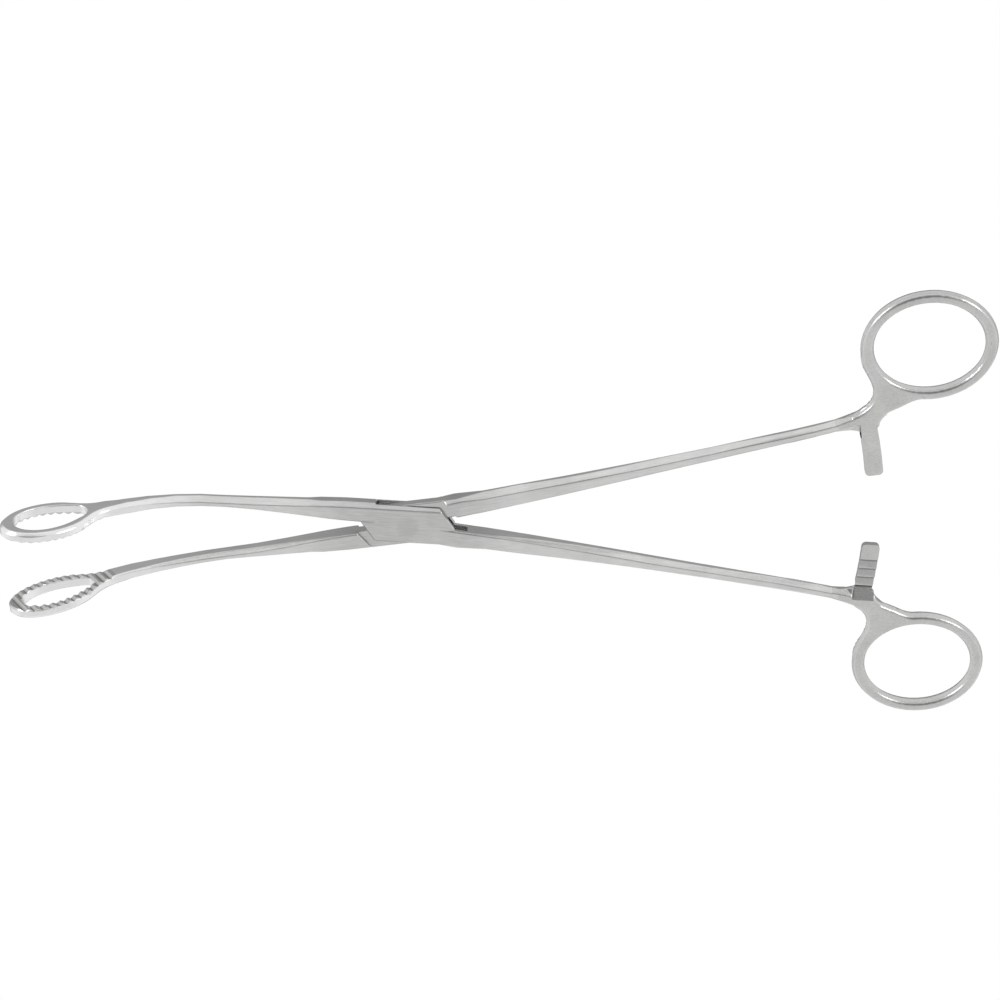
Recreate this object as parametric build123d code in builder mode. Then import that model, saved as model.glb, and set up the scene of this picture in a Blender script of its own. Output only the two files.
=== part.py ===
from build123d import *
from math import asin, cos, radians, sin, tan
import os

# Curved sponge holding forceps with a box lock, ring handles and a ratchet.
# Two drop forged halves cross in the lock and turn on one flush rivet.
# +X runs to the finger rings, the jaws point to -X, +Z is the pivot axis and the side
# that the jaws curve to. The origin is on the pivot axis, in the flat underside.
# Each half is drawn closed, against the plane y = 0, and then turned to its open rest pose.

# Lock
lock_thickness = 4.8
lock_half_width = 5.1
crease_inset = 0.95
crease_drop = 1.3
edge_break = 0.35
open_half_angle = 5.6
slot_height = 2.5
slot_clearance = 0.08
slot_half_length = 8.0
tongue_corner_x = 6.0
cheek_inner_x = 11.3
cheek_outer_x = 7.35
shoulder_inner_x = 12.6
shoulder_outer_x = 9.3
pocket_end_x = 14.4
pocket_depth = 2.2
mate_gap = 0.25

# Rivet
rivet_diameter = 3.6
rivet_head_diameter = 5.6
rivet_head_depth = 0.9
rivet_fit = 0.02
rivet_running_fit = 0.1

# Jaw arms and their curve: length from the pivot, gap to the middle plane, width, half height,
# and the inset and drop of the bevel
arm_straight = 43.9
arm_bend_radius = 62.0
arm_bend_angle = 30.0
arm_stations = [
    (15.0, 0.45, 4.65, 2.4, 0.95, 1.3),
    (37.0, 1.55, 2.75, 2.35, 0.7, 1.3),
    (44.0, 1.7, 2.4, 2.2, 0.6, 1.3),
    (50.0, 1.75, 2.4, 2.2, 0.6, 1.3),
    (56.0, 1.7, 2.4, 2.2, 0.6, 1.3),
    (62.0, 1.5, 2.4, 2.2, 0.6, 1.3),
    (68.0, 1.2, 2.4, 2.2, 0.6, 1.3),
]
neck_gap = 1.0

# Fenestrated jaw rings
neck_x = 71.6
jaw_tip_x = 94.6
jaw_thickness = 2.4
neck_half_width = 2.3
ring_half_width = 7.45
ring_widest = 16.0
window_start = 5.3
window_half_width = 5.4
window_tip_rail = 3.0
jaw_back_bevel = 0.7
tip_gap = 0.06
tooth_pitch = 1.9
tooth_depth = 0.45
tooth_crest = 0.3
tooth_first = 1.0
tooth_count = 13

# Shanks, which end beside the ratchet
ratchet_radius = 112.2
shank_end_run = 8.2
shank_end_y = 11.0
shank_x = [15.5, 34.0, 60.0, 84.0, ratchet_radius - shank_end_run]
shank_inner = [1.0, 2.5, 5.55, 8.4, shank_end_y]
shank_width = [4.9, 4.4, 3.55, 3.1, 2.9]
shank_end_thickness = 3.4
shank_crease_inset = 0.95
shank_crease_drop = 0.85

# Finger rings
finger_run = 15.3
finger_rise = 19.4
finger_x = ratchet_radius + finger_run
finger_y = shank_end_y + finger_rise
finger_turn = -3.3
finger_long = 14.6
finger_short = 12.3
finger_band = 3.3
finger_thickness = 3.4
finger_round = 0.95

# Flat web beside each finger ring, as points measured from the ring's centre
web_back = [(-17.3, -14.4), (-14.1, -11.0), (-15.5, -5.0)]
web_root = [(-7.5, -15.0), (-11.0, -16.3)]
web_root_angle = 264
web_bar = (-1.35, -0.9)
web_bar_foot = 2.0
web_bar_round = 0.4

# Ratchets
ratchet_width = 4.3
ratchet_reach = 1.1
ratchet_root_rise = 0.6
ratchet_root_y = shank_end_y + ratchet_root_rise
ratchet_gap = 0.2
ratchet_pitch = 2.36
ratchet_teeth = 4
ratchet_tooth_depth = 0.5
ratchet_land = 4.1
ratchet_tip_round = 1.1
ratchet_run_out = 2.5

os.makedirs("parts", exist_ok=True)

mid_z = lock_thickness / 2
lock_half = lock_thickness / 2
tongue_height = slot_height - 2 * slot_clearance


def curve_point(s):
    # place and slope of the jaw arm's centre line at the length s from the pivot
    bend = radians(arm_bend_angle)
    turn = min(max((s - arm_straight) / arm_bend_radius, 0), bend)
    past = max(s - arm_straight - arm_bend_radius * bend, 0)
    x = min(s, arm_straight) + arm_bend_radius * sin(turn) + past * cos(bend)
    z = arm_bend_radius * (1 - cos(turn)) + past * sin(bend)
    return x, mid_z + z, turn


def rise_at(x):
    # height of the straight end of the jaw curve at the distance x from the pivot
    bend = radians(arm_bend_angle)
    foot = arm_straight + arm_bend_radius * tan(bend / 2)
    return mid_z + (x - foot) * tan(bend)


def arm_section(plane, inner, outer, half, inset, drop):
    # forged section: flat faces, one bevelled outer side, and a plain inner side
    with BuildSketch(plane) as section:
        with BuildLine():
            Polyline(
                (inner + edge_break, half),
                (outer - inset, half),
                (outer, half - drop),
                (outer, drop - half),
                (outer - inset, -half),
                (inner + edge_break, -half),
                (inner, edge_break - half),
                (inner, half - edge_break),
                close=True,
            )
        make_face()
    return section.sketch


def thickness_at(x):
    # half thickness of a shank, which thins evenly from the lock to the ratchet
    share = (x - shank_x[0]) / (shank_x[-1] - shank_x[0])
    return lock_half + max(share, 0) * (shank_end_thickness / 2 - lock_half)


def plan_face(corners):
    # closed outline seen from above
    with BuildSketch() as plan:
        with BuildLine():
            Polyline(*corners, close=True)
        make_face()
    return plan.sketch


# Shank of the through half, on the +Y side, from the lock to the ratchet
with BuildPart() as shank:
    root_plane = Plane((slot_half_length, 0, mid_z), x_dir=(0, 1, 0), z_dir=(1, 0, 0))
    sections = [
        arm_section(root_plane, mate_gap, lock_half_width, lock_half, crease_inset, crease_drop)
    ]
    for x, inner, width in zip(shank_x, shank_inner, shank_width):
        section_plane = Plane((x, 0, mid_z), x_dir=(0, 1, 0), z_dir=(1, 0, 0))
        half = thickness_at(x)
        section = arm_section(
            section_plane, inner, inner + width, half, shank_crease_inset, shank_crease_drop
        )
        sections.append(section)
    loft(sections)

# Finger ring with the flat web that joins it to the shank and to the root of the ratchet
bar_left = ratchet_radius - ratchet_width / 2
bar_right = ratchet_radius + ratchet_width / 2
bar_root = (bar_left, ratchet_root_y - web_bar_foot)
shank_end = (shank_x[-1], shank_inner[-1])
shank_back = (shank_x[-1], shank_inner[-1] + shank_width[-1])


def from_ring(point):
    # place of a web point that is measured from the centre of the finger ring
    return finger_x + point[0], finger_y + point[1]


with BuildPart() as finger_ring:
    with BuildSketch(Plane.XY.offset(mid_z - finger_thickness / 2)):
        with BuildLine():
            bow = EllipticalCenterArc(
                (finger_x, finger_y), finger_long + finger_band / 2, finger_short + finger_band / 2,
                start_angle=web_root_angle, arc_size=540 - web_root_angle, rotation=finger_turn,
            )
            back_curve = Spline(
                shank_back, *[from_ring(point) for point in web_back], bow @ 1,
                tangents=((1, 0.25), (bow % 1) * -1),
            )
            root_curve = Spline(
                bow @ 0, *[from_ring(point) for point in web_root], (bar_right, ratchet_root_y),
                tangents=((bow % 0) * -1, (-0.15, -1)),
            )
            Line(root_curve @ 1, bar_root)
            bar_curve = Spline(
                bar_root, (bar_left + web_bar[0], ratchet_root_y + web_bar[1]), shank_end,
                tangents=((-0.1, 1), (-1, -0.13)),
            )
            Line(bar_curve @ 1, back_curve @ 0)
        make_face()
        with Locations(Location((finger_x, finger_y), finger_turn)):
            Ellipse(
                finger_long - finger_band / 2, finger_short - finger_band / 2, mode=Mode.SUBTRACT
            )
    extrude(amount=finger_thickness)
    levels = finger_ring.faces().filter_by(Axis.Z)
    rims = levels.edges().filter_by(GeomType.LINE, reverse=True)
    fillet(rims.filter_by(lambda rim: rim.center().Y > ratchet_root_y), finger_round)
    levels = finger_ring.faces().filter_by(Axis.Z)
    rims = levels.edges().filter_by(GeomType.BSPLINE)
    fillet(rims.filter_by(lambda rim: rim.center().Y < ratchet_root_y), web_bar_round)

with BuildPart() as handle:
    add(shank.part)
    add(finger_ring.part)

# Jaw arm of the through half, on the -Y side, from the lock to the neck of its ring
neck = Vector(-neck_x, -neck_gap, rise_at(neck_x))
tip = Vector(-jaw_tip_x, -tip_gap, rise_at(jaw_tip_x))
across = Vector(sin(radians(arm_bend_angle)), 0, cos(radians(arm_bend_angle)))
along = (tip - neck).normalized()
ring_length = (tip - neck).length
ring_plane = Plane(neck, x_dir=along, z_dir=across.cross(along))

with BuildPart() as jaw_arm:
    sections = [
        arm_section(
            Plane((-slot_half_length, 0, mid_z), x_dir=(0, -1, 0), z_dir=(-1, 0, 0)),
            mate_gap, lock_half_width, lock_half, crease_inset, crease_drop,
        )
    ]
    for s, inner, width, half, inset, drop in arm_stations:
        x, z, turn = curve_point(s)
        station_plane = Plane((-x, 0, z), x_dir=(0, -1, 0), z_dir=(-cos(turn), 0, sin(turn)))
        sections.append(arm_section(station_plane, inner, inner + width, half, inset, drop))
    neck_plane = Plane(neck, x_dir=ring_plane.z_dir, z_dir=along)
    sections.append(
        arm_section(neck_plane, 0, jaw_thickness, neck_half_width, jaw_back_bevel, jaw_back_bevel)
    )
    loft(sections, ruled=True)

# Fenestrated ring of the jaw, with cross serrations on the gripping face
tooth_plane = Plane(neck, x_dir=along, z_dir=across)
with BuildPart() as jaw_ring:
    with BuildSketch(ring_plane):
        with BuildLine():
            Line((0, 0), (0, neck_half_width))
            Spline(
                (0, neck_half_width), (8.5, 5.8), (ring_widest, ring_half_width),
                tangents=((1, 0), (1, 0)),
            )
            EllipticalCenterArc(
                (ring_widest, 0), ring_length - ring_widest, ring_half_width, 0, arc_size=90
            )
            mirror(about=Plane.XZ)
        make_face()
    extrude(amount=jaw_thickness)
    outward = Axis(neck, ring_plane.z_dir)
    rims = jaw_ring.edges().filter_by(GeomType.LINE, reverse=True).group_by(outward)
    chamfer(rims[-1], jaw_back_bevel)
    chamfer(rims[0], edge_break)
    with BuildSketch(ring_plane):
        with BuildLine():
            Spline(
                (window_start, 0), (8.2, 3.4), (ring_widest, window_half_width),
                tangents=((0, 1), (1, 0)),
            )
            EllipticalCenterArc(
                (ring_widest, 0), ring_length - window_tip_rail - ring_widest, window_half_width,
                0, arc_size=90,
            )
            mirror(about=Plane.XZ)
        make_face()
    extrude(amount=jaw_thickness, mode=Mode.SUBTRACT)
    with BuildSketch(tooth_plane.offset(-ring_half_width - 1)):
        for tooth in range(tooth_count):
            start = tooth_first + tooth * tooth_pitch
            with BuildLine():
                Polyline(
                    (start, -tooth_depth),
                    (start, 0),
                    (start + (tooth_pitch - tooth_crest) / 2, tooth_depth),
                    (start + tooth_pitch - tooth_crest, 0),
                    (start + tooth_pitch - tooth_crest, -tooth_depth),
                    close=True,
                )
            make_face()
    extrude(amount=2 * ring_half_width + 2, mode=Mode.SUBTRACT)

# Jaw of the through half
with BuildPart() as jaw:
    add(jaw_arm.part)
    add(jaw_ring.part)

# Plain bar of the lock, bevelled along both outer sides
with BuildPart() as lock_bar:
    with BuildSketch(Plane((-cheek_inner_x - 1, 0, mid_z), x_dir=(0, 1, 0), z_dir=(1, 0, 0))):
        with BuildLine():
            Polyline(
                (lock_half_width, lock_half - crease_drop),
                (lock_half_width - crease_inset, lock_half),
                (crease_inset - lock_half_width, lock_half),
                (-lock_half_width, lock_half - crease_drop),
                (-lock_half_width, crease_drop - lock_half),
                (crease_inset - lock_half_width, -lock_half),
                (lock_half_width - crease_inset, -lock_half),
                (lock_half_width, crease_drop - lock_half),
                close=True,
            )
        make_face()
    extrude(amount=2 * cheek_inner_x + 2)


def ratchet_bar(side, floor, height):
    # curved bar about the pivot, rounded at its free end
    tip_y = -side * ratchet_reach
    root_y = side * ratchet_root_y
    with BuildPart() as bar:
        with BuildSketch(Plane.XY.offset(floor)):
            with BuildLine():
                left = ThreePointArc(
                    *[(bar_left * cos(asin(y / bar_left)), y) for y in (tip_y, root_y / 2, root_y)]
                )
                right = ThreePointArc(
                    *[(bar_right * cos(asin(y / bar_right)), y) for y in (tip_y, root_y / 2, root_y)]
                )
                Line(left @ 0, right @ 0)
                Line(left @ 1, right @ 1)
            make_face()
        extrude(amount=height)
        tip_corners = bar.edges().filter_by(Axis.Z).sort_by(Axis.Y)
        tip_corners = tip_corners[:2] if side > 0 else tip_corners[-2:]
        fillet(tip_corners, ratchet_tip_round)
    return bar.part


def ratchet_grooves(side, face_z, down):
    # sloped teeth: each groove drops straight towards the root and runs out to the next one,
    # and the last one runs out through the web
    with BuildPart() as grooves:
        for tooth in range(ratchet_teeth):
            y = -side * (ratchet_reach - ratchet_land - tooth * ratchet_pitch)
            floor_z = face_z + down * ratchet_tooth_depth
            with BuildSketch(Plane.YZ.offset(bar_left - 1)):
                with BuildLine():
                    if tooth < ratchet_teeth - 1:
                        lift = face_z - down * 0.05
                        Polyline((y, lift), (y, floor_z), (y + side * ratchet_pitch, lift), close=True)
                    else:
                        lift = mid_z - down * (finger_thickness / 2 + 0.5)
                        reach = ratchet_run_out * abs(lift - floor_z) / (finger_thickness / 2 + 0.1)
                        before = y - side * ratchet_pitch
                        Polyline(
                            (before, lift), (before, face_z), (y, face_z), (y, floor_z),
                            (y + side * reach, lift), close=True,
                        )
                make_face()
            extrude(amount=ratchet_width + 2.5)
    return grooves.part


bar_height = shank_end_thickness / 2 - ratchet_gap / 2
upper_floor = mid_z + ratchet_gap / 2
lower_floor = mid_z - shank_end_thickness / 2

# Outlines in the lock, seen from above with the forceps closed
tongue_plan = plan_face([
    (-slot_half_length, -mate_gap), (-tongue_corner_x, lock_half_width + 1),
    (slot_half_length, lock_half_width + 1), (slot_half_length, mate_gap),
    (tongue_corner_x, -lock_half_width - 1), (-slot_half_length, -lock_half_width - 1),
])
cheek_plan = plan_face([
    (-slot_half_length, lock_half_width + 1), (-slot_half_length, 2 * mate_gap),
    (-cheek_inner_x, 2 * mate_gap), (-cheek_inner_x, mate_gap),
    (-cheek_outer_x, -lock_half_width), (-cheek_outer_x, -lock_half_width - 1),
    (slot_half_length, -lock_half_width - 1), (slot_half_length, -2 * mate_gap),
    (cheek_inner_x, -2 * mate_gap), (cheek_inner_x, -mate_gap),
    (cheek_outer_x, lock_half_width), (cheek_outer_x, lock_half_width + 1),
])
slot_plan = plan_face([
    (-slot_half_length, lock_half_width + 1), (-slot_half_length, mate_gap),
    (-cheek_inner_x - 1, mate_gap), (-cheek_inner_x - 1, -lock_half_width - 1),
    (slot_half_length, -lock_half_width - 1), (slot_half_length, -mate_gap),
    (cheek_inner_x + 1, -mate_gap), (cheek_inner_x + 1, lock_half_width + 1),
])
slope = (shoulder_inner_x - shoulder_outer_x) / lock_half_width
shoulder_plan = plan_face([
    (-shoulder_inner_x - slope, 1), (-shoulder_outer_x + slope, -lock_half_width - 1),
    (shoulder_inner_x + slope, -lock_half_width - 1), (shoulder_inner_x + slope, -1),
    (shoulder_outer_x - slope, lock_half_width + 1),
    (-shoulder_inner_x - slope, lock_half_width + 1),
])


def rivet_profile(fit):
    # half section of the rivet: flush conical heads on a plain shank
    head = rivet_head_diameter / 2 - fit
    stem = rivet_diameter / 2 - fit
    with BuildSketch(Plane.XZ) as profile:
        with BuildLine():
            Polyline(
                (0, 0), (head, 0), (stem, rivet_head_depth), (stem, lock_thickness - rivet_head_depth),
                (head, lock_thickness), (0, lock_thickness), close=True,
            )
        make_face()
    return profile.sketch


def slanted_rims(builder, inner_x, outer_x):
    # edges of the slanted ends of the lock, in its top and bottom faces
    middle = (inner_x + outer_x) / 2

    def chosen(edge):
        centre = edge.center()
        level = min(abs(centre.Z), abs(centre.Z - lock_thickness)) < 0.01
        run = edge.end_point() - edge.start_point()
        steep = abs(run.Y) > 2 and abs(run.X) > 1
        return level and steep and abs(abs(centre.X) - middle) < 1.2

    return builder.edges().filter_by(GeomType.LINE).filter_by(chosen)


# Pivot rivet, closed flush into both cheeks
with BuildPart() as pivot_rivet:
    revolve(rivet_profile(rivet_fit), axis=Axis.Z)
pivot_rivet.part.label = "pivot_rivet"

# Through half, closed: it passes through the slot as a tongue between two shoulders
with BuildPart() as through_closed:
    add(lock_bar.part)
    extrude(tongue_plan, amount=lock_thickness, mode=Mode.INTERSECT)
    add(handle.part)
    add(jaw.part)
    for level in (mid_z + tongue_height / 2, -1):
        relief = Plane.XY.offset(level) * shoulder_plan
        extrude(relief, amount=lock_half - tongue_height / 2 + 1, mode=Mode.SUBTRACT)
    chamfer(slanted_rims(through_closed, shoulder_inner_x, shoulder_outer_x), edge_break)
    Hole(radius=rivet_diameter / 2 + rivet_running_fit)
    add(ratchet_bar(1, upper_floor, bar_height))
    add(ratchet_grooves(1, upper_floor, 1), mode=Mode.SUBTRACT)

with BuildPart() as through_half:
    add(through_closed.part, rotation=(0, 0, open_half_angle))
through_half.part.label = "through_half"

# Box half, closed: two cheeks with the slot between them
with BuildPart() as box_closed:
    add(lock_bar.part)
    extrude(cheek_plan, amount=lock_thickness, mode=Mode.INTERSECT)
    chamfer(slanted_rims(box_closed, cheek_inner_x, cheek_outer_x), edge_break)
    mirror(handle.part, about=Plane.XZ)
    mirror(jaw.part, about=Plane.XZ)
    slot_floor = Plane.XY.offset(mid_z - slot_height / 2)
    extrude(slot_floor * slot_plan, amount=slot_height, mode=Mode.SUBTRACT)
    with BuildSketch(slot_floor):
        for end in (-1, 1):
            with Locations((end * (slot_half_length + pocket_end_x) / 2, -end * pocket_depth / 2)):
                Rectangle(pocket_end_x - slot_half_length, pocket_depth + 2 * mate_gap)
    extrude(amount=slot_height, mode=Mode.SUBTRACT)
    revolve(rivet_profile(0), axis=Axis.Z, mode=Mode.SUBTRACT)
    add(ratchet_bar(-1, lower_floor, bar_height))
    add(ratchet_grooves(-1, lower_floor + bar_height, -1), mode=Mode.SUBTRACT)

with BuildPart() as box_half:
    add(box_closed.part, rotation=(0, 0, -open_half_angle))
box_half.part.label = "box_half"

for made in (box_half, through_half, pivot_rivet):
    export_step(made.part, "parts/" + made.part.label + ".step")
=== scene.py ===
import math

import bpy
from mathutils import Matrix, Vector


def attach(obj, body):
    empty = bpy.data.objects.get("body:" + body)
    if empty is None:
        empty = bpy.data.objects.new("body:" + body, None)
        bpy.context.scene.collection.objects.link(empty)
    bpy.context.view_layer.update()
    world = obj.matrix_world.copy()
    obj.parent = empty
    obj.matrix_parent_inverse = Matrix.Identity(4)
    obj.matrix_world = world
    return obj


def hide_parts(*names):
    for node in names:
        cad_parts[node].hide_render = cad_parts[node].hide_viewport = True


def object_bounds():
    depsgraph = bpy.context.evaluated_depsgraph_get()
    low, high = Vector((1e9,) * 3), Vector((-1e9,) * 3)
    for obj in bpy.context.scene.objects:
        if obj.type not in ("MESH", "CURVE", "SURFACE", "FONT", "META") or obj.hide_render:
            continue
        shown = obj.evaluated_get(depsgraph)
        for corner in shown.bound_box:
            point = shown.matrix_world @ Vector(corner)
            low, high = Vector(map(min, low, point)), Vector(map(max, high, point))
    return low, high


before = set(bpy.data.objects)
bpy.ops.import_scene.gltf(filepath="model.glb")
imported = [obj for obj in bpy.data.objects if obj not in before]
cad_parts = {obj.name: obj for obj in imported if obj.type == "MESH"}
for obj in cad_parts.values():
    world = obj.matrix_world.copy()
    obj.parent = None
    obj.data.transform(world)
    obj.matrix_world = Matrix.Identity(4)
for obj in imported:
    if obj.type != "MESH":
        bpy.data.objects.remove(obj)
cadLow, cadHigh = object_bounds()
print("frame loaded:", ", ".join(sorted(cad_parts)))

restTurn = 5.6  # degrees that each half is turned from closed, at rest


# Shader maths written as expressions: a Signal is one output socket
class Signal:
    def __init__(self, tree, socket):
        self.tree = tree
        self.socket = socket

    def math(self, operation, other, swapped=False):
        pair = (other, self) if swapped else (self, other)
        return self.tree.make("ShaderNodeMath", {"operation": operation}, dict(enumerate(pair)))

    def __add__(self, other): return self.math("ADD", other)
    def __radd__(self, other): return self.math("ADD", other)
    def __sub__(self, other): return self.math("SUBTRACT", other)
    def __rsub__(self, other): return self.math("SUBTRACT", other, True)
    def __mul__(self, other): return self.math("MULTIPLY", other)
    def __rmul__(self, other): return self.math("MULTIPLY", other)
    def __pow__(self, other): return self.math("POWER", other)


class ShaderTree:
    def __init__(self, owner):
        owner.use_nodes = True
        self.tree = owner.node_tree
        self.tree.nodes.clear()

    def make(self, kind, settings=None, sockets=None, outlet=0):
        node = self.tree.nodes.new(kind)
        for name, value in (settings or {}).items():
            if name == "stops":
                ramp = node.color_ramp.elements
                while len(ramp) < len(value):
                    ramp.new(0.5)
                for stop, (place, colour) in zip(ramp, value):
                    stop.position = place
                    stop.color = colour
            else:
                setattr(node, name, value)
        for name, value in (sockets or {}).items():
            if isinstance(value, Signal):
                self.tree.links.new(value.socket, node.inputs[name])
            else:
                node.inputs[name].default_value = value
        return Signal(self, node.outputs[outlet]) if node.outputs else None


# Satin stainless steel: fine grain along the instrument, darker at the lock, polished jaws that
# are smoother and lighter in colour as a painted highlight, painted shade in the teeth's
# grooves
forgedSteel = {
    # place on the ramp of tones, colour
    "tones": [
        (0.1, (0.55, 0.549, 0.543, 1.0)),
        (0.62, (0.80, 0.799, 0.791, 1.0)),
        # brightest stop, reached mostly in the jaws' painted highlight
        (1.0, (0.95, 0.953, 0.957, 1.0)),
    ],
    # detail and roughness of each noise
    "cloudNoise": (5.0, 0.55),
    "grainNoise": (4.0, 0.6),
    "peenNoise": (2.0, 0.5),
    "cloudScale": 130.0,
    "cloudShare": 0.5,
    "grainScale": (220.0, 3400.0, 3400.0),
    "grainDepth": 0.000022,
    "peenScale": 3200.0,
    "peenShare": 0.3,
    "roughLow": 0.19,
    "roughHigh": 0.31,
    "edgeRadius": 0.0006,
    "samples": 8,
    "dullReach": (0.014, 0.03),
    "dullTone": 0.26,
    "restTone": 0.0,
    "polishAndHighlightFrom": (-0.045, -0.065),
    "polishDrop": 0.5,
    # how far the jaws' colour is lightened: a painted highlight
    "paintedHighlightTone": 0.4,
    # painted shade: reach of the darkening in grooves (0 for none), and how strongly it darkens
    "grooveShadeReach": 0.0,
    "grooveShadePower": 2.2,
}


def steelFinish(name, look, turn):
    material = bpy.data.materials.new(name)
    tree = ShaderTree(material)
    place = tree.make("ShaderNodeTexCoord", outlet="Object")
    along = tree.make("ShaderNodeMapping", {"vector_type": "POINT"}, {
        "Vector": place,
        "Rotation": (0.0, 0.0, math.radians(-turn)),
    })
    grain = tree.make("ShaderNodeMapping", {"vector_type": "POINT"}, {
        "Vector": along,
        "Scale": look["grainScale"],
    })
    lines = tree.make("ShaderNodeTexNoise", {"noise_dimensions": "3D"}, {
        "Vector": grain, "Scale": 1.0,
        "Detail": look["grainNoise"][0], "Roughness": look["grainNoise"][1],
    })
    peen = tree.make("ShaderNodeTexNoise", {"noise_dimensions": "3D"}, {
        "Vector": place, "Scale": look["peenScale"],
        "Detail": look["peenNoise"][0], "Roughness": look["peenNoise"][1],
    })
    clouds = tree.make("ShaderNodeTexNoise", {"noise_dimensions": "3D"}, {
        "Vector": place, "Scale": look["cloudScale"],
        "Detail": look["cloudNoise"][0], "Roughness": look["cloudNoise"][1],
    })
    fromLock = tree.make("ShaderNodeVectorMath", {"operation": "LENGTH"}, {0: place}, "Value")
    dull = tree.make("ShaderNodeMapRange", {"interpolation_type": "SMOOTHSTEP"}, {
        "Value": fromLock, "From Min": look["dullReach"][0], "From Max": look["dullReach"][1],
        "To Min": look["dullTone"], "To Max": look["restTone"],
    })
    lengthwise = tree.make("ShaderNodeSeparateXYZ", None, {"Vector": place}, "X")
    # polished jaws: lower roughness, and a lighter colour as a painted highlight
    polishAndHighlight = tree.make("ShaderNodeMapRange", {"interpolation_type": "SMOOTHSTEP"}, {
        "Value": lengthwise,
        "From Min": look["polishAndHighlightFrom"][1], "From Max": look["polishAndHighlightFrom"][0],
        "To Min": 1.0, "To Max": 0.0,
    })
    tone = clouds * look["cloudShare"] + lines * (1 - look["cloudShare"])
    colour = tree.make("ShaderNodeValToRGB", {"stops": look["tones"]}, {
        "Fac": tone - dull + polishAndHighlight * look["paintedHighlightTone"],
    })
    # painted shade: grooves and hollows are darkened in the colour by ambient occlusion
    if look["grooveShadeReach"]:
        grooveShade = tree.make("ShaderNodeAmbientOcclusion", {"samples": look["samples"]}, {
            "Distance": look["grooveShadeReach"],
        }, "AO")
        colour = tree.make("ShaderNodeMix", {"data_type": "RGBA", "blend_type": "MULTIPLY"}, {
            "Factor": 1.0, "A": colour, "B": grooveShade ** look["grooveShadePower"],
        }, "Result")
    rough = look["roughLow"] + (look["roughHigh"] - look["roughLow"]) * tone
    rough = rough * (1 - polishAndHighlight * look["polishDrop"])
    rounded = tree.make("ShaderNodeBevel", {"samples": look["samples"]}, {
        "Radius": look["edgeRadius"],
    })
    surface = tree.make("ShaderNodeBump", None, {
        "Strength": 1.0,
        "Distance": look["grainDepth"],
        "Height": lines * (1 - look["peenShare"]) + peen * look["peenShare"],
        "Normal": rounded,
    })
    steel = tree.make("ShaderNodeBsdfPrincipled", None, {
        "Base Color": colour,
        "Metallic": 1.0,
        "Roughness": rough,
        "Normal": surface,
    })
    tree.make("ShaderNodeOutputMaterial", None, {"Surface": steel})
    return material


handleSteel = dict(
    forgedSteel, grainScale=(1500.0, 2600.0, 2600.0), peenShare=0.5, restTone=0.2,
)
# teeth: painted shade in their grooves, and a weaker painted highlight
toothSteel = dict(handleSteel, edgeRadius=0.00012, grooveShadeReach=0.0007, paintedHighlightTone=0.1)


# Bevels that the grinder leaves along shanks and jaw arms, in mm on the closed instrument
forgedBar = {
    "middle": 2.4,
    # how far a cutter runs past the bevel's edges, out of the bar and above it
    "overshoot": 0.25,
    "wedgeOut": 1.2,
    "wedgeUp": 1.0,
    # along, edge of the bar, half height, inset and drop of the bevel
    "shankInner": [
        (13.0, 0.80, 2.42, 0.22, 0.30), (18.0, 1.15, 2.38, 0.25, 0.45),
        (27.0, 1.90, 2.31, 0.45, 1.20), (40.0, 3.15, 2.21, 0.80, 1.35),
        (58.0, 5.31, 2.06, 1.05, 1.40), (74.0, 7.22, 1.94, 0.92, 1.40),
        (89.0, 9.02, 1.82, 0.80, 1.38), (104.0, 11.0, 1.70, 0.95, 1.25),
        (107.5, 11.0, 1.70, 1.40, 1.20), (109.9, 9.9, 1.70, 2.80, 1.20),
    ],
    "shankOuter": [
        (10.5, 5.26, 2.40, 0.45, 0.58), (19.0, 5.88, 2.38, 0.98, 1.95),
        (27.0, 6.50, 2.31, 0.95, 2.05), (40.0, 7.45, 2.21, 0.98, 1.98),
        (58.0, 8.93, 2.06, 1.00, 1.86), (74.0, 10.45, 1.94, 0.88, 1.76),
        (89.0, 12.1, 1.82, 0.80, 1.66), (104.0, 13.9, 1.70, 0.95, 1.40),
        (108.0, 14.75, 1.70, 0.60, 0.50),
    ],
    # length from the pivot, edge of the jaw arm, half height, inset and drop of the bevel
    "armInner": [
        (17.0, 0.54, 2.40, 0.20, 0.25), (21.0, 0.74, 2.39, 0.30, 0.45),
        (30.0, 1.20, 2.37, 0.62, 0.95), (37.0, 1.55, 2.35, 0.76, 1.15),
        (44.0, 1.70, 2.20, 0.75, 1.10), (50.0, 1.75, 2.20, 0.70, 1.05),
        (56.0, 1.70, 2.20, 0.60, 0.95), (62.0, 1.50, 2.20, 0.40, 0.70),
        (68.0, 1.20, 2.20, 0.20, 0.30),
    ],
    "armOuter": [
        (19.0, 5.00, 2.40, 0.50, 1.00), (24.0, 4.86, 2.38, 1.00, 1.95),
        (37.0, 4.30, 2.35, 0.90, 2.05), (44.0, 4.10, 2.20, 0.85, 1.95),
        (50.0, 4.15, 2.20, 0.85, 1.95), (56.0, 4.10, 2.20, 0.82, 1.90),
        (62.0, 3.90, 2.20, 0.72, 1.60), (67.5, 3.62, 2.20, 0.60, 1.20),
    ],
    # the arm's middle line: a straight run, then a bend up, in degrees
    "armStraight": 43.9,
    "armBendRadius": 62.0,
    "armBend": 30.0,
    # along, outer wall as it's ground straight beside the lock, and its cutter
    "outerWall": [(9.0, 5.12), (27.3, 6.53)],
    "wallLevels": (-2.0, 7.0),
    "wallDepth": 3.0,
}


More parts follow.
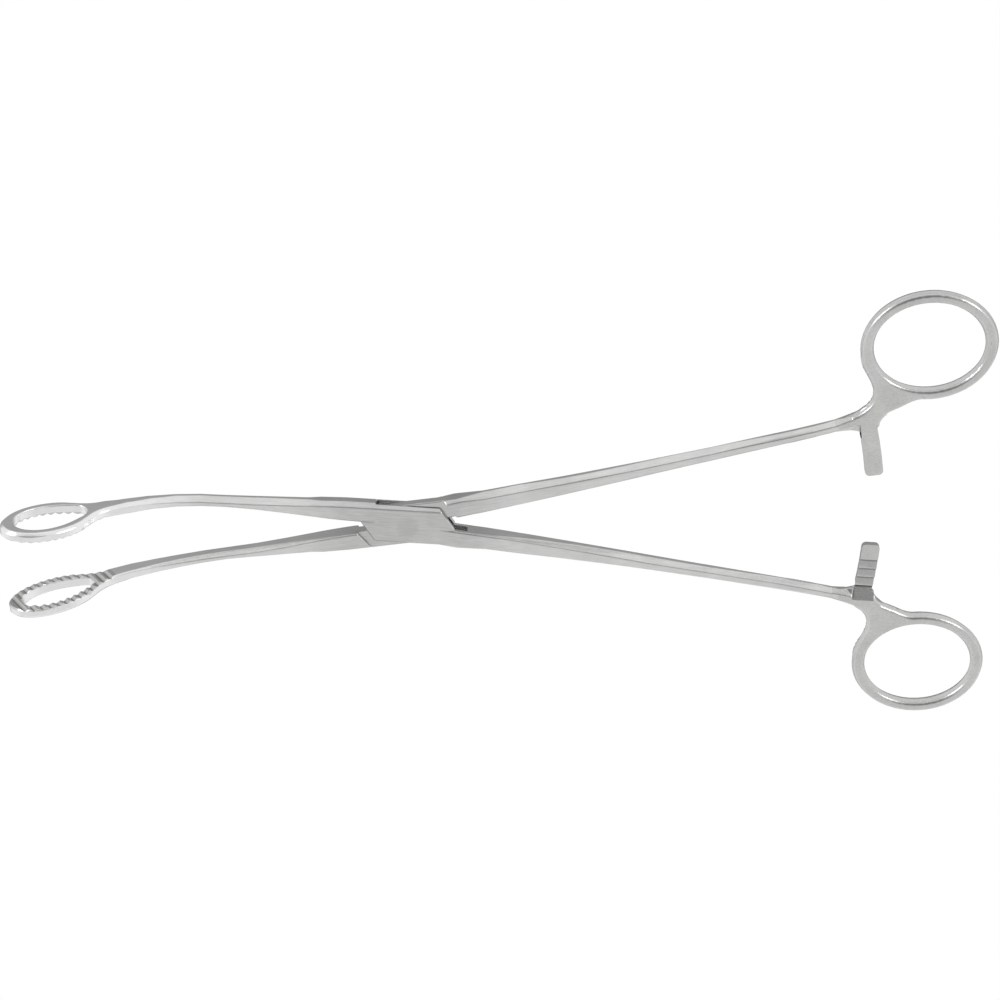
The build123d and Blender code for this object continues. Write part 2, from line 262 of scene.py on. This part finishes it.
def armFrame(look, length):
    # centre and upward direction of a jaw arm, by its length from the pivot
    bend = math.radians(look["armBend"])
    turn = min(max((length - look["armStraight"]) / look["armBendRadius"], 0.0), bend)
    past = max(length - look["armStraight"] - look["armBendRadius"] * bend, 0.0)
    radius = look["armBendRadius"]
    along = min(length, look["armStraight"]) + radius * math.sin(turn) + past * math.cos(bend)
    rise = radius * (1 - math.cos(turn)) + past * math.sin(bend)
    centre = Vector((-along, 0.0, look["middle"] + rise))
    return centre, Vector((math.sin(turn), 0.0, math.cos(turn)))


def bevelWedge(look, centre, up, across, edge, half, inset, drop):
    # triangle that takes one corner off a bar: two points along the bevel, one outside it
    low = centre + across * edge + up * (half - drop)
    high = centre + across * (edge + inset) + up * half
    run = (high - low).normalized() * look["overshoot"]
    away = edge - math.copysign(look["wedgeOut"], inset)
    outside = centre + across * away + up * (half + look["wedgeUp"])
    return [low - run, high + run, outside]


def grinderPass(look, key, level):
    # the triangles of one bevel, on the upper (1) or lower (-1) side of a bar
    triangles = []
    for along, edge, half, inset, drop in look[key]:
        if key.startswith("arm"):
            centre, up = armFrame(look, along)
            across = Vector((0.0, -1.0, 0.0))
        else:
            centre, up = Vector((along, 0.0, look["middle"])), Vector((0.0, 0.0, 1.0))
            across = Vector((0.0, 1.0, 0.0))
        inset = -inset if key.endswith("Outer") else inset
        triangles.append(bevelWedge(look, centre, up * level, across, edge, half, inset, drop))
    return triangles


def wallPass(look):
    # tall triangles outside the outer wall, from below the bar to above it
    triangles = []
    for along, edge in look["outerWall"]:
        low, high = (Vector((along, edge, level)) for level in look["wallLevels"])
        outside = Vector((along, edge + look["wallDepth"], look["middle"]))
        triangles.append([low, high, outside])
    return triangles


def turnedOpen(point, side):
    # from the closed through half, in mm, to a half at rest, in metres
    placed = Vector((point.x, point.y * side, point.z)) / 1000
    return Matrix.Rotation(math.radians(restTurn) * side, 3, "Z") @ placed


def turnedClosed(point, side):
    # from a half at rest, in metres, to the closed instrument, in mm
    return Matrix.Rotation(-math.radians(restTurn) * side, 3, "Z") @ point * 1000


def addCutter(name, triangles, side):
    # a triangle is extruded once for each further section, and its corners are then set
    bpy.ops.object.select_all(action="DESELECT")
    bpy.ops.mesh.primitive_circle_add(vertices=3, fill_type="NGON")
    cutter = bpy.context.object
    cutter.name = name
    bpy.ops.object.mode_set(mode="EDIT")
    bpy.ops.mesh.select_all(action="SELECT")
    for step in range(len(triangles) - 1):
        bpy.ops.mesh.extrude_region_move()
    bpy.ops.object.mode_set(mode="OBJECT")
    corners = [corner for triangle in triangles for corner in triangle]
    for vertex, corner in zip(cutter.data.vertices, corners):
        vertex.co = turnedOpen(corner, side)
    bpy.ops.object.mode_set(mode="EDIT")
    bpy.ops.mesh.select_all(action="SELECT")
    bpy.ops.mesh.quads_convert_to_tris()
    bpy.ops.mesh.normals_make_consistent(inside=False)
    bpy.ops.object.mode_set(mode="OBJECT")
    return cutter


# Where the grip's teeth, the ratchet teeth and the handle lie, in mm on the closed instrument
finishPlaces = {
    "gripStart": (71.6, 1.0),
    "gripEnd": (94.6, 0.06),
    "gripDepth": 0.55,
    "ratchetRadii": (109.8, 114.6),
    "ratchetReach": (-1.3, 12.8),
    "handleFrom": 105.0,
}


def onTeeth(look, point, side):
    closed = turnedClosed(point, side)
    along, across = closed.x, closed.y * side
    startX, startY = look["gripStart"]
    endX, endY = look["gripEnd"]
    if along < -startX:
        grip = startY + (-along - startX) * (endY - startY) / (endX - startX)
        return -across - grip < look["gripDepth"]
    inner, outer = look["ratchetRadii"]
    low, high = look["ratchetReach"]
    return inner < math.hypot(along, across) < outer and low < across < high


def onHandle(look, point, side):
    return turnedClosed(point, side).x > look["handleFrom"]


# Finger ring: its walls slope inward from mid height, in mm on the closed instrument
ringSlope = {
    "middle": 2.4,
    "reach": (114.9, 119.0),
    "outerReach": (104.5, 109.5),
    "outerFrom": 14.1,
    "midShift": 0.1,
    "edgeShift": 0.42,
    "edgeFrom": 0.5,
    "leastSideways": 0.02,
}


def slopeRing(piece, look, side):
    bpy.ops.object.mode_set(mode="EDIT")
    bpy.ops.mesh.select_all(action="SELECT")
    bpy.ops.mesh.bisect(plane_co=(0, 0, look["middle"] / 1000), plane_no=(0, 0, 1))
    bpy.ops.object.mode_set(mode="OBJECT")
    shifts = []
    for vertex in piece.data.vertices:
        closed = turnedClosed(vertex.co, side)
        outer = closed.y * side > look["outerFrom"]
        start, full = look["outerReach" if outer else "reach"]
        weight = min(max((closed.x - start) / (full - start), 0.0), 1.0)
        level = abs(closed.z - look["middle"])
        depth = look["edgeShift"] if level > look["edgeFrom"] else look["midShift"]
        sideways = Vector((vertex.normal.x, vertex.normal.y, 0.0))
        if weight > 0 and sideways.length > look["leastSideways"]:
            shifts.append((vertex, sideways.normalized() * weight * depth / 1000))
    for vertex, shift in shifts:
        vertex.co -= shift


meshFinish = {
    "mergeReach": 0.000001,
    "shadeAngle": 18.0,
}


def finishHalf(nodeName, bodyName, side, steel, teeth, handle):
    piece = bpy.data.objects.new(nodeName + "Forged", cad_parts[nodeName].data.copy())
    bpy.context.scene.collection.objects.link(piece)
    cutters = []
    for key in ("shankInner", "shankOuter", "armInner", "armOuter"):
        for level in (1, -1):
            triangles = grinderPass(forgedBar, key, level)
            cutters.append(addCutter(key + "Cutter", triangles, side))
    wall = addCutter("wallCutter", wallPass(forgedBar), side)
    wall.select_set(False)
    bpy.context.view_layer.objects.active = cutters[0]
    for cutter in cutters:
        cutter.select_set(True)
    bpy.ops.object.join()
    grinder = bpy.context.object
    bpy.ops.object.select_all(action="DESELECT")
    bpy.context.view_layer.objects.active = piece
    piece.select_set(True)
    bpy.ops.object.mode_set(mode="EDIT")
    bpy.ops.mesh.customdata_custom_splitnormals_clear()
    bpy.ops.mesh.select_all(action="SELECT")
    bpy.ops.mesh.remove_doubles(threshold=meshFinish["mergeReach"])
    bpy.ops.object.mode_set(mode="OBJECT")
    for tool in (wall, grinder):
        cut = piece.modifiers.new("grind", "BOOLEAN")
        cut.operation = "DIFFERENCE"
        cut.solver = "EXACT"
        cut.object = tool
        bpy.ops.object.modifier_apply(modifier=cut.name)
        bpy.data.objects.remove(tool)
    slopeRing(piece, ringSlope, side)
    piece.data.materials.clear()
    for finish in (steel, teeth, handle):
        piece.data.materials.append(finish)
    for face in piece.data.polygons:
        if onTeeth(finishPlaces, face.center, side):
            face.material_index = 1
        elif onHandle(finishPlaces, face.center, side):
            face.material_index = 2
    bpy.ops.object.shade_smooth_by_angle(angle=math.radians(meshFinish["shadeAngle"]))
    weighted = piece.modifiers.new("flatFaces", "WEIGHTED_NORMAL")
    weighted.keep_sharp = True
    bpy.ops.object.modifier_apply(modifier=weighted.name)
    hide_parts(nodeName)
    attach(piece, bodyName)
    print(nodeName, "refined:", len(piece.data.polygons), "faces")


toothFinish = steelFinish("toothSteel", toothSteel, 0.0)
handleFinish = steelFinish("handleSteel", handleSteel, 0.0)
finishHalf(
    "box_half", "box_body", -1, steelFinish("boxSteel", forgedSteel, -restTurn),
    toothFinish, handleFinish,
)
finishHalf(
    "through_half", "through_body", 1, steelFinish("throughSteel", forgedSteel, restTurn),
    toothFinish, handleFinish,
)


# The rivet is peened flush and ground with the box: only a darker cloud shows
flushRivet = {
    "headRadius": 0.0036,
    "headDepth": 0.00002,
    "proud": 0.000012,
    "levels": (0.0, 0.0048),
    "corners": 64,
}


def finishRivet(look, steel):
    rivet = bpy.data.objects.new("pivot_rivetPeened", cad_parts["pivot_rivet"].data.copy())
    bpy.context.scene.collection.objects.link(rivet)
    heads = []
    for level, outward in zip(look["levels"], (-1, 1)):
        bpy.ops.object.select_all(action="DESELECT")
        middle = level + outward * (look["proud"] - look["headDepth"] / 2)
        bpy.ops.mesh.primitive_cylinder_add(
            vertices=look["corners"], radius=look["headRadius"], depth=look["headDepth"],
            location=(0, 0, middle),
        )
        heads.append(bpy.context.object)
    rivet.select_set(True)
    for head in heads:
        head.select_set(True)
    bpy.context.view_layer.objects.active = rivet
    bpy.ops.object.join()
    rivet.data.materials.clear()
    rivet.data.materials.append(steel)
    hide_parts("pivot_rivet")
    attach(rivet, "box_body")


rivetSteel = dict(
    forgedSteel, edgeRadius=0.000001, dullReach=(0.0052, 0.0058), dullTone=0.36, restTone=0.26,
)
finishRivet(flushRivet, steelFinish("rivetSteel", rivetSteel, -restTurn))
print("steel finishes set")


# Studio: white paper below, a pale tent around, large soft lamps
studio = {
    "paperSeen": (1.0, 1.0, 1.0, 1.0),
    "paperLit": (0.8, 0.8, 0.8, 1.0),
    "paperShade": 0.42,
    "paperFade": (-0.88, -0.45),
    "floorSize": 4.0,
    "floorDrop": 0.0006,
    "tentFoot": 0.88,
    "tentTop": 0.76,
    "tentFade": (0.1, 0.6),
    "worldLit": 0.9,
    "lensSide": (0.0, 0.454, 0.891),  # where the camera stands, the dark side of the tent
    "lensShade": 0.3,
    "shadeEdge": (0.78, 0.965),
}


def paperFloor(look):
    bpy.ops.object.select_all(action="DESELECT")
    bpy.ops.mesh.primitive_plane_add(
        size=look["floorSize"], location=(0, 0, cadLow[2] - look["floorDrop"])
    )
    floor = bpy.context.object
    floor.name = "paperFloor"
    material = bpy.data.materials.new("whitePaper")
    tree = ShaderTree(material)
    seen = tree.make("ShaderNodeLightPath", outlet="Is Camera Ray")
    matte = tree.make("ShaderNodeBsdfDiffuse", None, {"Color": look["paperLit"]})
    white = tree.make("ShaderNodeEmission", None, {"Color": look["paperSeen"], "Strength": 1.0})
    paper = tree.make("ShaderNodeMixShader", None, {0: seen, 1: matte, 2: white})
    tree.make("ShaderNodeOutputMaterial", None, {"Surface": paper})
    floor.data.materials.append(material)
    floor.visible_glossy = False  # the world's lower half stands in for it in the steel


def studioWorld(look):
    world = bpy.data.worlds.new("studioWorld")
    bpy.context.scene.world = world
    tree = ShaderTree(world)
    seen = tree.make("ShaderNodeLightPath", outlet="Is Camera Ray")
    mirrored = tree.make("ShaderNodeLightPath", outlet="Is Glossy Ray")
    direction = tree.make("ShaderNodeTexCoord", outlet="Generated")
    facing = tree.make("ShaderNodeVectorMath", {"operation": "DOT_PRODUCT"}, {
        0: direction, 1: look["lensSide"],
    }, outlet="Value")
    shade = tree.make("ShaderNodeMapRange", {"interpolation_type": "SMOOTHSTEP"}, {
        "Value": facing, "From Min": look["shadeEdge"][0], "From Max": look["shadeEdge"][1],
        "To Min": 1.0, "To Max": look["lensShade"],
    })
    rise = tree.make("ShaderNodeSeparateXYZ", None, {"Vector": direction}, "Z")
    tent = tree.make("ShaderNodeMapRange", {"interpolation_type": "SMOOTHSTEP"}, {
        "Value": rise, "From Min": look["tentFade"][0], "From Max": look["tentFade"][1],
        "To Min": look["tentFoot"], "To Max": look["tentTop"],
    })
    # straight down lies the paper in the instrument's own shade, farther out it is lit
    paper = tree.make("ShaderNodeMapRange", {"interpolation_type": "SMOOTHSTEP"}, {
        "Value": rise, "From Min": look["paperFade"][0], "From Max": look["paperFade"][1],
        "To Min": look["paperShade"], "To Max": 1.0,
    })
    mirror = mirrored * paper * tent * shade
    level = seen + (1 - seen) * (mirror + (1 - mirrored) * look["worldLit"])
    sky = tree.make("ShaderNodeBackground", None, {
        "Color": look["paperSeen"], "Strength": level,
    })
    tree.make("ShaderNodeOutputWorld", None, {"Surface": sky})


softLamps = {
    # place, aim, width, height, power
    "leftBox": ((-0.75, 0.6, 0.32), (0.0, 0.0, 0.0), 0.5, 0.45, 1.9),
    "rightBox": ((0.8, 0.55, 0.32), (0.0, 0.0, 0.0), 0.35, 0.45, 1.2),
}


def addLamps(lamps):
    for name, (place, aim, width, height, power) in lamps.items():
        bpy.ops.object.light_add(type="AREA", location=place)
        lamp = bpy.context.object
        lamp.name = name
        lamp.rotation_euler = (Vector(aim) - Vector(place)).to_track_quat("-Z", "Y").to_euler()
        lamp.data.shape = "RECTANGLE"
        lamp.data.size = width
        lamp.data.size_y = height
        lamp.data.energy = power


paperFloor(studio)
studioWorld(studio)
addLamps(softLamps)
print("studio set up")


# Camera fitted to the photograph; distances in metres, angles in degrees
photoCamera = {
    "lockMiddle": 0.0024,
    "tilt": 27.0,
    "turn": 1.84,
    "roll": -0.04,
    "distance": 0.694,
    "aimX": 0.02215,
    "aimY": 0.00527,
    "focal": 103.68,
    "sensor": 36.0,
    "nearest": 0.01,
}


def placeCamera(look):
    tilt, turn, roll = (math.radians(look[key]) for key in ("tilt", "turn", "roll"))
    cosTurn, sinTurn = math.cos(turn), math.sin(turn)
    cosTilt, sinTilt = math.cos(tilt), math.sin(tilt)
    right = Vector((cosTurn, -sinTurn, 0.0))
    up = Vector((cosTilt * sinTurn, cosTilt * cosTurn, -sinTilt))
    back = Vector((sinTilt * sinTurn, sinTilt * cosTurn, cosTilt))
    rightRolled = right * math.cos(roll) - up * math.sin(roll)
    upRolled = right * math.sin(roll) + up * math.cos(roll)
    place = rightRolled * look["aimX"] + upRolled * look["aimY"] + back * look["distance"]
    place.z += look["lockMiddle"]
    bpy.ops.object.camera_add(location=place)
    camera = bpy.context.object
    camera.name = "photoCamera"
    camera.rotation_euler = Matrix((rightRolled, upRolled, back)).transposed().to_euler()
    camera.data.lens = look["focal"]
    camera.data.sensor_width = look["sensor"]
    camera.data.sensor_fit = "HORIZONTAL"
    camera.data.clip_start = look["nearest"]
    bpy.context.scene.camera = camera


placeCamera(photoCamera)
bpy.context.scene.view_settings.view_transform = "Standard"
print("camera placed")
